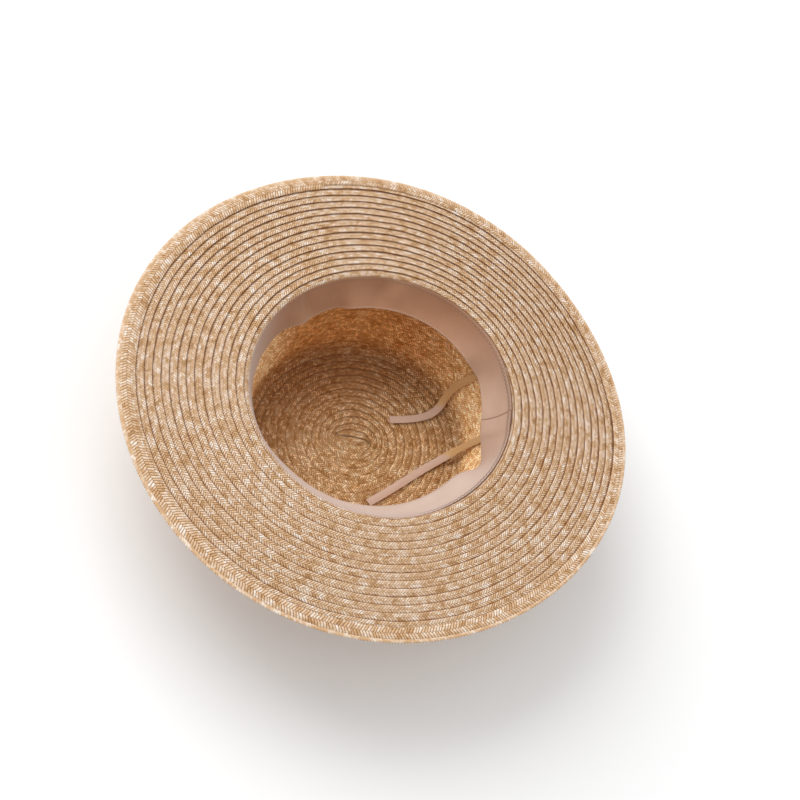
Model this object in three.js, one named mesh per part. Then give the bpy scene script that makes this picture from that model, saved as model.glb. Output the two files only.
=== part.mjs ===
// Straw boater hat: a spiral of lapped straw plait, a ribbon sweatband and two narrow ribbon tails.
// Units are millimetres. The hat rests on its flat tip with the opening up (+Z), its back towards +Y.
// The visible face is the one seen from above: inside the crown and the underside of the brim.
import * as THREE from "three";
import { mergeVertices } from "three/addons/utils/BufferGeometryUtils.js";

const DEGREE = Math.PI / 180;

// Clearance between pieces that touch, and the lap gap inside the sweatband
const SEAT_GAP = 0.3;

// Straw body
const STRAW_WALL = 2;
const LAP_STEP = 0.8;
const CROWN_ROW = 5.8;
const BRIM_ROW = 5.4;

// Ovals: half the short axis, half the long axis, turn of the long axis from +Y, centre
const TIP_HALF_WIDTH = 75;
const TIP_HALF_LENGTH = 83;
const HEAD_HALF_WIDTH = 88.5;
const HEAD_HALF_LENGTH = 94.5;
const BRIM_HALF_WIDTH = 177.4;
const BRIM_HALF_LENGTH = 180.9;
const CROWN_TURN = 40 * DEGREE;
const BRIM_TURN = 31 * DEGREE;
const CROWN_CENTRE = new THREE.Vector2(-3.7, 3.9);
const START_CENTRE = new THREE.Vector2(-8.4, 5.3);
const START_HALF_LENGTH = 12.5;

// Heights
const CROWN_DEPTH = 79;
const BRIM_RISE = 2;

// Round corners of the visible face
const TIP_CORNER = 6;
const BRIM_CORNER = 4;

// Slow waves of the brim's edge: crests round the brim, height at the edge, place of the first crest
const BRIM_WAVE_HEIGHT = 2.3;
const BRIM_RIPPLE_HEIGHT = 0.9;
const BRIM_WAVES = [
  { crests: 2, height: BRIM_WAVE_HEIGHT, crestAt: 49 * DEGREE },
  { crests: 3, height: BRIM_WAVE_HEIGHT, crestAt: 46 * DEGREE },
  { crests: 4, height: BRIM_RIPPLE_HEIGHT, crestAt: -23 * DEGREE },
];

// Edge braid: the doubled last row, lying over the brim's outermost row
const EDGE_BRAID_WIDTH = 11.7;
const EDGE_BRAID_THICKNESS = 1.8;
const EDGE_BRAID_LAP = 4;

// Sweatband: ribbon sewn by its upper edge to the opening, with a lap seam at the back
const BAND_WIDTH = 24;
const BAND_THICKNESS = 1;
const BAND_SEAM_AT = 90 * DEGREE;
const BAND_LAP = 12;
const BAND_LEAN_TOP = 0.75;
const BAND_LEAN_FREE = 1.2;

// How far the sweatband leans in from the vertical, in degrees, by the direction round the crown
const BAND_LEANS = [
  { at: 0, lean: 39 },
  { at: 18, lean: 36 },
  { at: 27, lean: 46 },
  { at: 36, lean: 58 },
  { at: 45, lean: 50 },
  { at: 54, lean: 32 },
  { at: 63, lean: 20 },
  { at: 80, lean: 36 },
  { at: 92, lean: 38 },
  { at: 108, lean: 29 },
  { at: 126, lean: 44 },
  { at: 140, lean: 46 },
  { at: 154, lean: 39 },
  { at: 171, lean: 48 },
  { at: 187, lean: 25 },
  { at: 204, lean: 20 },
  { at: 217, lean: 26 },
  { at: 240, lean: 14 },
  { at: 262, lean: 17 },
  { at: 290, lean: 26 },
  { at: 310, lean: 36 },
  { at: 340, lean: 41 },
];

// Ribbon tails: flat cords whose points are chosen by hand along the inner wall and the tip
const TAIL_WIDTH = 5.5;
const TAIL_THICKNESS = 0.6;
const TAIL_A_ROUTE = [
  [-41.6, 89.0, 72.0],
  [-41.4, 87.6, 64.0],
  [-41.6, 86.0, 56.5],
  [-42.2, 84.2, 48.6],
  [-43.6, 81.5, 41.5],
  [-44.8, 79.5, 34.5],
  [-45.5, 78.0, 28.0],
  [-45.6, 76.4, 22.0],
  [-45.0, 75.2, 16.6],
  [-43.4, 74.1, 12.0],
  [-41.0, 72.6, 8.6],
  [-38.0, 70.4, 6.3],
  [-34.9, 67.0, 4.9],
  [-32.1, 62.1, 4.1],
  [-29.9, 56.0, 3.8],
  [-28.3, 49.7, 3.7],
  [-27.2, 43.5, 3.7],
  [-26.5, 38.2, 3.7],
  [-26.2, 33.2, 3.7],
];
const TAIL_B_ROUTE = [
  [6.0, 93.6, 72.0],
  [5.6, 92.2, 64.0],
  [4.8, 90.8, 56.0],
  [3.8, 89.3, 47.5],
  [2.2, 87.8, 38.6],
  [0.7, 86.1, 31.0],
  [-0.4, 84.1, 24.0],
  [-1.1, 81.9, 17.5],
  [-1.0, 79.1, 12.0],
  [0.3, 75.5, 8.0],
  [2.4, 71.3, 5.6],
  [5.3, 66.5, 4.4],
  [8.7, 61.2, 3.9],
  [12.1, 56.1, 3.7],
  [16.1, 50.5, 3.7],
  [20.1, 45.0, 3.7],
  [24.1, 39.5, 3.7],
  [28.1, 34.0, 3.7],
  [31.9, 28.6, 3.7],
  [35.7, 23.2, 3.7],
  [39.3, 17.8, 3.7],
  [42.2, 13.3, 3.7],
];

// Facets
const CROWN_SEGMENTS = 36;
const BRIM_SEGMENTS = 48;
const BAND_SEGMENTS = 72;
const BAND_ROWS = 3;
const CORNER_STEPS = 3;

// Values worked out from the sizes above
const TIP_FACE = STRAW_WALL;
const OPENING_HEIGHT = TIP_FACE + CROWN_DEPTH;
const WALL_HALF_WIDTH = HEAD_HALF_WIDTH + BAND_THICKNESS + LAP_STEP + 2 * SEAT_GAP;

// Meridian of the visible face, from the middle of the tip over the side wall to the brim's edge.
// Its first coordinate is the oval's half width and its second is the height.
function roundedMeridian() {
  const corners = [
    { point: new THREE.Vector2(0, TIP_FACE), radius: 0 },
    { point: new THREE.Vector2(TIP_HALF_WIDTH, TIP_FACE), radius: TIP_CORNER },
    { point: new THREE.Vector2(WALL_HALF_WIDTH, OPENING_HEIGHT), radius: BRIM_CORNER },
    { point: new THREE.Vector2(BRIM_HALF_WIDTH, OPENING_HEIGHT + BRIM_RISE), radius: 0 },
  ];
  const path = new THREE.CurvePath();
  const marks = [];
  let from = corners[0].point;
  for (let i = 1; i < corners.length - 1; i++) {
    const { point, radius } = corners[i];
    const back = corners[i - 1].point.clone().sub(point).normalize();
    const ahead = corners[i + 1].point.clone().sub(point).normalize();
    const halfAngle = Math.acos(back.dot(ahead)) / 2;
    const reach = radius / Math.tan(halfAngle);
    const arcStart = point.clone().addScaledVector(back, reach);
    const arcEnd = point.clone().addScaledVector(ahead, reach);
    path.add(new THREE.LineCurve(from, arcStart));
    marks.push(path.getLength());
    path.add(new THREE.QuadraticBezierCurve(arcStart, point.clone(), arcEnd));
    marks.push(path.getLength());
    from = arcEnd;
  }
  path.add(new THREE.LineCurve(from, corners[corners.length - 1].point));
  return { path, marks, length: path.getLength() };
}

const meridian = roundedMeridian();
const [TIP_CORNER_START, TIP_CORNER_END, BRIM_CORNER_START, BRIM_CORNER_END] = meridian.marks;
const TIP_CORNER_MIDDLE = (TIP_CORNER_START + TIP_CORNER_END) / 2;
const BRIM_CORNER_MIDDLE = (BRIM_CORNER_START + BRIM_CORNER_END) / 2;

// How the ovals change along the meridian: extra half length, turn and centre at four places
const OVAL_STATIONS = [
  { at: 0, stretch: START_HALF_LENGTH, turn: 0, centre: START_CENTRE },
  {
    at: TIP_CORNER_MIDDLE,
    stretch: TIP_HALF_LENGTH - TIP_HALF_WIDTH,
    turn: CROWN_TURN,
    centre: CROWN_CENTRE,
  },
  {
    at: BRIM_CORNER_MIDDLE,
    stretch: HEAD_HALF_LENGTH - HEAD_HALF_WIDTH,
    turn: CROWN_TURN,
    centre: CROWN_CENTRE,
  },
  {
    at: meridian.length,
    stretch: BRIM_HALF_LENGTH - BRIM_HALF_WIDTH,
    turn: BRIM_TURN,
    centre: new THREE.Vector2(0, 0),
  },
];

// The oval's form at a distance along the meridian, between the two stations that hold it.
function ovalAt(distance) {
  const stations = OVAL_STATIONS;
  let i = 0;
  while (i < stations.length - 2 && distance > stations[i + 1].at) i++;
  const [a, b] = [stations[i], stations[i + 1]];
  const share = THREE.MathUtils.clamp((distance - a.at) / (b.at - a.at), 0, 1);
  return {
    stretch: THREE.MathUtils.lerp(a.stretch, b.stretch, share),
    turn: THREE.MathUtils.lerp(a.turn, b.turn, share),
    centre: a.centre.clone().lerp(b.centre, share),
  };
}

// The brim's wave at a direction, growing from nothing at the opening to its full height at the edge.
function brimWave(distance, direction) {
  const width = meridian.length - BRIM_CORNER_END;
  const share = THREE.MathUtils.clamp((distance - BRIM_CORNER_END) / width, 0, 1);
  const wave = BRIM_WAVES.reduce(
    (sum, w) => sum + w.height * Math.cos(w.crests * (direction - w.crestAt)),
    0,
  );
  return wave * share ** 2;
}

// A point of the hat: distance along the meridian, height above the visible face, direction round it.
function hatPoint(distance, height, direction) {
  const share = THREE.MathUtils.clamp(distance / meridian.length, 0, 1);
  const base = meridian.path.getPointAt(share);
  const tangent = meridian.path.getTangentAt(share);
  const halfWidth = base.x - height * tangent.y;
  return ovalPoint(ovalAt(distance), halfWidth, base.y + height * tangent.x, direction)
    .add(new THREE.Vector3(0, 0, brimWave(distance, direction)));
}

// A point of one oval, given its half width, height and direction.
function ovalPoint(oval, halfWidth, z, direction) {
  const angle = direction - oval.turn;
  const x = halfWidth * Math.cos(angle);
  const y = (halfWidth + oval.stretch) * Math.sin(angle);
  return new THREE.Vector3(
    oval.centre.x + x * Math.cos(oval.turn) - y * Math.sin(oval.turn),
    oval.centre.y + x * Math.sin(oval.turn) + y * Math.cos(oval.turn),
    z,
  );
}

// Triangles between neighbouring sections, each a list of points in the same order.
function skinOf(sections, closedRound, closedAlong, capped) {
  const count = sections[0].length;
  const vertices = sections.flat().flatMap((p) => [p.x, p.y, p.z]);
  const index = [];
  const sectionSteps = closedRound ? sections.length : sections.length - 1;
  const pointSteps = closedAlong ? count : count - 1;
  for (let i = 0; i < sectionSteps; i++) {
    const here = i * count;
    const next = ((i + 1) % sections.length) * count;
    for (let j = 0; j < pointSteps; j++) {
      const k = (j + 1) % count;
      index.push(here + j, next + j, next + k, here + j, next + k, here + k);
    }
  }
  if (capped) {
    const last = (sections.length - 1) * count;
    for (let j = 1; j < count / 2; j++) {
      const corners = [j - 1, j, count - 1 - j, count - j];
      const [a, b, c, d] = corners;
      index.push(a, b, c, a, c, d);
      const [e, f, g, h] = corners.map((corner) => last + corner);
      index.push(e, g, f, e, h, g);
    }
  }
  const geometry = new THREE.BufferGeometry();
  geometry.setAttribute("position", new THREE.Float32BufferAttribute(vertices, 3));
  geometry.setIndex(index);
  return cleaned(mergeVertices(geometry, 1e-3));
}

// The geometry without triangles that have two corners in one place.
function cleaned(geometry) {
  const old = geometry.index.array;
  const index = [];
  for (let i = 0; i < old.length; i += 3) {
    const [a, b, c] = old.slice(i, i + 3);
    if (a !== b && b !== c && c !== a) index.push(a, b, c);
  }
  geometry.setIndex(index);
  geometry.computeVertexNormals();
  return geometry;
}

// Points along the meridian for lapped rows, with a step at each row's free edge.
// On the visible face the free edge looks to the middle, on the outer face it looks outwards.
function lappedRows(start, end, pitch, base, stepAtStart, stepAtEnd) {
  const rows = Math.max(1, Math.round((end - start) / pitch));
  const points = [];
  for (let i = 0; i < rows; i++) {
    points.push({ at: THREE.MathUtils.lerp(start, end, i / rows), height: base + stepAtStart });
    points.push({ at: THREE.MathUtils.lerp(start, end, (i + 1) / rows), height: base + stepAtEnd });
  }
  return points;
}

// A closed section of points along the meridian, swept round the hat.
function sweptRound(profile, segments, closedAlong) {
  const sections = [];
  for (let i = 0; i < segments; i++) {
    const direction = (2 * Math.PI * i) / segments;
    sections.push(profile.map((p) => hatPoint(p.at, p.height, direction)));
  }
  return skinOf(sections, true, closedAlong, false);
}

// Even steps across a stretch of the meridian at one height.
function evenSteps(start, end, height, steps) {
  const points = [];
  for (let i = 0; i <= steps; i++) {
    points.push({ at: THREE.MathUtils.lerp(start, end, i / steps), height });
  }
  return points;
}

// Crown: flat tip, round corner and slanting side wall, in one lapped spiral.
function crownGeometry() {
  const tipInside = lappedRows(0, TIP_CORNER_MIDDLE, CROWN_ROW, 0, LAP_STEP, 0);
  const sideInside = lappedRows(TIP_CORNER_MIDDLE, BRIM_CORNER_START, CROWN_ROW, 0, LAP_STEP, 0);
  const outer = -STRAW_WALL;
  const sideOutside = lappedRows(TIP_CORNER_END, BRIM_CORNER_START, CROWN_ROW, outer, 0, -LAP_STEP);
  const cornerOutside = evenSteps(TIP_CORNER_START, TIP_CORNER_END, outer, CORNER_STEPS);
  const tipOutside = [{ at: 0, height: outer }, ...cornerOutside.slice(0, -1)];
  const profile = [...tipInside, ...sideInside, ...sideOutside.reverse(), ...tipOutside.reverse()];
  return sweptRound(profile.reverse(), CROWN_SEGMENTS, false);
}

// Brim: starts just past the crown's upper edge and ends under the edge braid.
function brimGeometry() {
  const start = BRIM_CORNER_START + SEAT_GAP;
  const rowsStart = BRIM_CORNER_END;
  const rowsEnd = meridian.length - EDGE_BRAID_WIDTH;
  const end = rowsEnd + EDGE_BRAID_LAP;
  const corner = evenSteps(start, rowsStart, 0, CORNER_STEPS).slice(0, -1);
  const rows = lappedRows(rowsStart, rowsEnd, BRIM_ROW, 0, LAP_STEP, 0);
  const underEdge = [{ at: rowsEnd + SEAT_GAP, height: 0 }, { at: end, height: 0 }];
  const back = evenSteps(start, end, -STRAW_WALL, 1);
  const cornerBack = evenSteps(start, rowsStart, -STRAW_WALL, CORNER_STEPS);
  const profile = [...corner, ...rows, ...underEdge, back[1], ...cornerBack.reverse()];
  return sweptRound(profile.reverse(), BRIM_SEGMENTS, true);
}

// Edge braid: lies on the brim's last row and folds down over its edge.
function edgeBraidGeometry() {
  const inner = meridian.length - EDGE_BRAID_WIDTH;
  const brimEnd = inner + EDGE_BRAID_LAP + SEAT_GAP;
  const outer = meridian.length;
  const top = SEAT_GAP + EDGE_BRAID_THICKNESS;
  const profile = [
    { at: inner, height: SEAT_GAP },
    { at: brimEnd, height: SEAT_GAP },
    { at: brimEnd, height: -STRAW_WALL },
    { at: outer - EDGE_BRAID_THICKNESS / 2, height: -STRAW_WALL },
    { at: outer, height: -STRAW_WALL / 2 },
    { at: outer, height: SEAT_GAP },
    { at: outer - EDGE_BRAID_THICKNESS / 2, height: top - EDGE_BRAID_THICKNESS / 2 },
    { at: inner + EDGE_BRAID_WIDTH / 2, height: top },
    { at: inner, height: top - EDGE_BRAID_THICKNESS / 3 },
  ];
  return sweptRound(profile, BRIM_SEGMENTS, true);
}

// The sweatband's lean at a direction, eased between the rows of its table.
function bandLean(direction) {
  const turn = THREE.MathUtils.euclideanModulo(direction / DEGREE, 360);
  const last = BAND_LEANS.length - 1;
  const i = BAND_LEANS.findLastIndex((row) => row.at <= turn);
  const a = BAND_LEANS[i];
  const b = i === last ? { at: 360, lean: BAND_LEANS[0].lean } : BAND_LEANS[i + 1];
  const share = THREE.MathUtils.smoothstep(turn, a.at, b.at);
  return THREE.MathUtils.lerp(a.lean, b.lean, share) * DEGREE;
}

// One section of the sweatband: down its face towards the crown and back up its other face.
function bandSection(direction, layer) {
  const oval = ovalAt(BRIM_CORNER_MIDDLE);
  const lean = bandLean(direction);
  const facing = [];
  const backing = [];
  let halfWidth = HEAD_HALF_WIDTH - layer;
  let z = OPENING_HEIGHT - SEAT_GAP;
  for (let i = 0; i <= BAND_ROWS; i++) {
    const share = i / BAND_ROWS;
    const tilt = lean * THREE.MathUtils.lerp(BAND_LEAN_TOP, BAND_LEAN_FREE, share);
    facing.push(ovalPoint(oval, halfWidth, z, direction));
    const outwards = BAND_THICKNESS * Math.cos(tilt);
    const downwards = BAND_THICKNESS * Math.sin(tilt);
    const thick = i === 0 ? [BAND_THICKNESS, 0] : [outwards, downwards];
    backing.push(ovalPoint(oval, halfWidth + thick[0], z - thick[1], direction));
    halfWidth -= (BAND_WIDTH / BAND_ROWS) * Math.sin(tilt);
    z -= (BAND_WIDTH / BAND_ROWS) * Math.cos(tilt);
  }
  return [...facing, ...backing.reverse()];
}

// Sweatband: once round the opening and a lap further, where it lies on its own first end.
function sweatbandGeometry() {
  const lapTurn = BAND_LAP / HEAD_HALF_LENGTH;
  const sections = [];
  for (let i = 0; i <= BAND_SEGMENTS; i++) {
    const share = i / BAND_SEGMENTS;
    const direction = BAND_SEAM_AT - lapTurn + share * (2 * Math.PI + lapTurn);
    const lift = THREE.MathUtils.smoothstep(direction, BAND_SEAM_AT, BAND_SEAM_AT + 2 * Math.PI - lapTurn);
    sections.push(bandSection(direction, lift * (BAND_THICKNESS + SEAT_GAP)));
  }
  return skinOf(sections, false, true, true);
}

// The direction in which a ribbon's face looks: away from the wall high up, and up on the tip.
function tailFacing(point) {
  const fromCentre = new THREE.Vector3(point.x - CROWN_CENTRE.x, point.y - CROWN_CENTRE.y, 0);
  const inwards = fromCentre.normalize().negate();
  const share = THREE.MathUtils.smoothstep(point.z, TIP_FACE, TIP_FACE + CROWN_DEPTH / 3);
  return new THREE.Vector3(0, 0, 1).lerp(inwards, share).normalize();
}

// Ribbon tail: a flat band with eased long edges along a hand-laid route.
function tailGeometry(route) {
  const points = route.map((p) => new THREE.Vector3(...p));
  const curve = new THREE.CatmullRomCurve3(points);
  const steps = points.length - 1;
  const half = TAIL_WIDTH / 2;
  const thin = TAIL_THICKNESS / 2;
  const outline = [
    [-half, -thin / 2],
    [-half + thin, -thin],
    [half - thin, -thin],
    [half, -thin / 2],
    [half, thin / 2],
    [half - thin, thin],
    [-half + thin, thin],
    [-half, thin / 2],
  ];
  const sections = [];
  for (let i = 0; i <= steps; i++) {
    const centre = curve.getPointAt(i / steps);
    const tangent = curve.getTangentAt(i / steps);
    const across = tangent.clone().cross(tailFacing(centre)).normalize();
    const facing = across.clone().cross(tangent).normalize();
    const section = outline.map(([w, t]) =>
      centre.clone().addScaledVector(across, w).addScaledVector(facing, t),
    );
    sections.push(section);
  }
  return skinOf(sections, false, true, true);
}

// A named piece with its own finish.
function piece(name, geometry, color, roughness) {
  const material = new THREE.MeshStandardMaterial({ color, roughness, metalness: 0 });
  const mesh = new THREE.Mesh(geometry, material);
  mesh.name = name;
  return mesh;
}

const STRAW_COLOUR = 0xd2a970;
const RIBBON_COLOUR = 0xd9bba4;
const TAIL_COLOUR = 0xd8b48a;

const hat = new THREE.Group();
hat.name = "straw_boater_hat";
hat.add(piece("crown", crownGeometry(), STRAW_COLOUR, 0.6));
hat.add(piece("brim", brimGeometry(), STRAW_COLOUR, 0.6));
hat.add(piece("edge_braid", edgeBraidGeometry(), STRAW_COLOUR, 0.6));
hat.add(piece("sweatband", sweatbandGeometry(), RIBBON_COLOUR, 0.85));
hat.add(piece("ribbon_tail_a", tailGeometry(TAIL_A_ROUTE), TAIL_COLOUR, 0.5));
hat.add(piece("ribbon_tail_b", tailGeometry(TAIL_B_ROUTE), TAIL_COLOUR, 0.5));

export default hat;
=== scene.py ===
"""Looks of the straw boater hat: spiral of lapped straw plait, ribbon sweatband, stitches, ribbon tails."""
import logging
import math
from dataclasses import dataclass, field, replace
from enum import Enum
from typing import Any, Callable, Sequence

import bpy
import numpy as np
from mathutils import Matrix, Vector


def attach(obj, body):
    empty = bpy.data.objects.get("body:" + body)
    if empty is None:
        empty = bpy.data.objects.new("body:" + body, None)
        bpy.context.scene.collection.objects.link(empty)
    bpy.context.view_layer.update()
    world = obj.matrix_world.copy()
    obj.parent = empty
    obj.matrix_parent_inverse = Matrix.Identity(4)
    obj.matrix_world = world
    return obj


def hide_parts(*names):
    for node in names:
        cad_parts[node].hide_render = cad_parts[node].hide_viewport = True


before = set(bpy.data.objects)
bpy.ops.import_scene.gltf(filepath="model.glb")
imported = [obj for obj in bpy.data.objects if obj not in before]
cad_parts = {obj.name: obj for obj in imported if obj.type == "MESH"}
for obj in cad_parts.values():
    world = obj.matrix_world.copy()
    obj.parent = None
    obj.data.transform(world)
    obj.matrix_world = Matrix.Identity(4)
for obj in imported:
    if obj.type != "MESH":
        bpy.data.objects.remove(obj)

MM = 0.001

logging.basicConfig(level=logging.INFO, format="%(message)s")
log = logging.getLogger("hat")


class Slot(Enum):
    """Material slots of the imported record."""

    STRAW = "straw_plait"
    BAND = "sweatband_ribbon"
    TAIL = "tail_ribbon"


class Place(Enum):
    """Which stretch of the straw body a length of plait covers."""

    CROWN = "crown"
    BRIM = "brim"
    EDGE = "edge_braid"


def deselect_all() -> None:
    """Leaves object mode with nothing selected."""
    if bpy.context.mode != "OBJECT":
        bpy.ops.object.mode_set(mode="OBJECT")
    bpy.ops.object.select_all(action="DESELECT")


def activate(piece: bpy.types.Object) -> None:
    """Selects one object alone and makes it the active one."""
    deselect_all()
    piece.select_set(True)
    bpy.context.view_layer.objects.active = piece


def smoothstep(x: np.ndarray, low: float, high: float) -> np.ndarray:
    """Rises smoothly from 0 at low to 1 at high."""
    k = np.clip((x - low) / (high - low), 0.0, 1.0)
    return k * k * (3.0 - 2.0 * k)


class Wire:
    """A shader socket that takes part in Python expressions."""

    def __init__(self, shader: "Shader", socket: bpy.types.NodeSocket) -> None:
        """Keeps the socket and the shader that it belongs to."""
        self.shader = shader
        self.socket = socket

    def _math(self, operation: str, *terms: Any) -> "Wire":
        """Adds a Math node of the given operation over the terms."""
        inputs = {index: term for index, term in enumerate(terms)}
        return self.shader.node("ShaderNodeMath", {"operation": operation}, inputs)

    def __add__(self, other: Any) -> "Wire":
        """Sum of two values."""
        return self._math("ADD", self, other)

    def __radd__(self, other: Any) -> "Wire":
        """Sum with the number in front."""
        return self._math("ADD", other, self)

    def __sub__(self, other: Any) -> "Wire":
        """Difference of two values."""
        return self._math("SUBTRACT", self, other)

    def __rsub__(self, other: Any) -> "Wire":
        """Difference with the number in front."""
        return self._math("SUBTRACT", other, self)

    def __mul__(self, other: Any) -> "Wire":
        """Product of two values."""
        return self._math("MULTIPLY", self, other)

    def __rmul__(self, other: Any) -> "Wire":
        """Product with the number in front."""
        return self._math("MULTIPLY", other, self)

    def __truediv__(self, other: Any) -> "Wire":
        """Quotient of two values."""
        return self._math("DIVIDE", self, other)

    def __pow__(self, other: Any) -> "Wire":
        """Power of a value."""
        return self._math("POWER", self, other)

    def floor(self) -> "Wire":
        """Whole number below."""
        return self._math("FLOOR", self)

    def part(self) -> "Wire":
        """Part after the whole number."""
        return self._math("FRACT", self)

    def size(self) -> "Wire":
        """Value without its sign."""
        return self._math("ABSOLUTE", self)

    def sine(self) -> "Wire":
        """Sine of the value in radians."""
        return self._math("SINE", self)

    def above(self, limit: Any) -> "Wire":
        """1 where the value is over the limit, else 0."""
        return self._math("GREATER_THAN", self, limit)

    def ramp(self, low: float, high: float) -> "Wire":
        """Smooth rise from 0 at low to 1 at high."""
        settings = {"interpolation_type": "SMOOTHSTEP", "clamp": True}
        return self.shader.node("ShaderNodeMapRange", settings, {0: self, 1: low, 2: high})


class Shader:
    """A new material whose nodes are added by one method."""

    def __init__(self, name: str) -> None:
        """Makes an empty material with an output."""
        self.material = bpy.data.materials.new(name)
        self.material.use_nodes = True
        self.tree = self.material.node_tree
        self.tree.nodes.clear()
        self.output = self.tree.nodes.new("ShaderNodeOutputMaterial")

    def node(self, kind: str, settings: dict[str, Any], inputs: dict[Any, Any], out: Any = 0) -> Wire:
        """Adds a node.

        Args:
            kind: the node's type.
            settings: its settings, set before the inputs.
            inputs: values or wires by socket name or number.
            out: name or number of the output that is returned.

        Returns:
            The chosen output as a wire.
        """
        made = self.tree.nodes.new(kind)
        for key, value in settings.items():
            if key == "stops":
                self._set_stops(made.color_ramp, value)
            else:
                setattr(made, key, value)
        for key, value in inputs.items():
            if isinstance(value, Wire):
                self.tree.links.new(value.socket, made.inputs[key])
            else:
                made.inputs[key].default_value = value
        return Wire(self, made.outputs[out])

    @staticmethod
    def _set_stops(ramp: bpy.types.ColorRamp, stops: Sequence[tuple[float, tuple[float, ...]]]) -> None:
        """Gives a colour ramp its stops.

        Args:
            ramp: the ramp.
            stops: place and colour of each stop, in order.
        """
        while len(ramp.elements) > 1:
            ramp.elements.remove(ramp.elements[-1])
        for index, (place, colour) in enumerate(stops):
            stop = ramp.elements[0] if index == 0 else ramp.elements.new(place)
            stop.position = place
            stop.color = (*colour[:3], 1.0)

    def mix(self, low: Any, high: Any, share: Any, blend: str = "MIX") -> Wire:
        """Mixes two colours.

        Args:
            low: colour at share 0.
            high: colour at share 1.
            share: how much of the second colour.
            blend: the way in which they are mixed.

        Returns:
            The mixed colour.
        """
        settings = {"data_type": "RGBA", "blend_type": blend}
        inputs = {0: share, 6: self._rgba(low), 7: self._rgba(high)}
        return self.node("ShaderNodeMix", settings, inputs, 2)

    @staticmethod
    def _rgba(colour: Any) -> Any:
        """A colour with its fourth number, or the wire as it is."""
        return colour if isinstance(colour, Wire) else (*colour[:3], 1.0)

    def coordinates(self, kind: str) -> Wire:
        """UV or Object coordinates."""
        return self.node("ShaderNodeTexCoord", {}, {}, kind)

    def axes(self, vector: Wire) -> tuple[Wire, Wire, Wire]:
        """The three numbers of a vector."""
        first = self.node("ShaderNodeSeparateXYZ", {}, {0: vector})
        outputs = first.socket.node.outputs
        return first, Wire(self, outputs[1]), Wire(self, outputs[2])

    def vector(self, x: Any, y: Any, z: Any = 0.0) -> Wire:
        """A vector of three numbers."""
        return self.node("ShaderNodeCombineXYZ", {}, {0: x, 1: y, 2: z})

    def noise(self, at: Wire, scale: float, detail: float = 2.0, roughness: float = 0.5) -> Wire:
        """Soft noise from 0 to 1.

        Args:
            at: coordinates.
            scale: how fine it is.
            detail: how many finer layers it has.
            roughness: weight of the finer layers.

        Returns:
            The noise value.
        """
        inputs = {"Vector": at, "Scale": scale, "Detail": detail, "Roughness": roughness}
        return self.node("ShaderNodeTexNoise", {}, inputs, "Fac")

    def finish(self, surface: dict[str, Any]) -> bpy.types.Material:
        """Adds the Principled shader and joins it to the output.

        Args:
            surface: values or wires of the shader's sockets.

        Returns:
            The finished material.
        """
        shader = self.node("ShaderNodeBsdfPrincipled", {}, surface)
        self.tree.links.new(shader.socket, self.output.inputs["Surface"])
        return self.material


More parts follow.
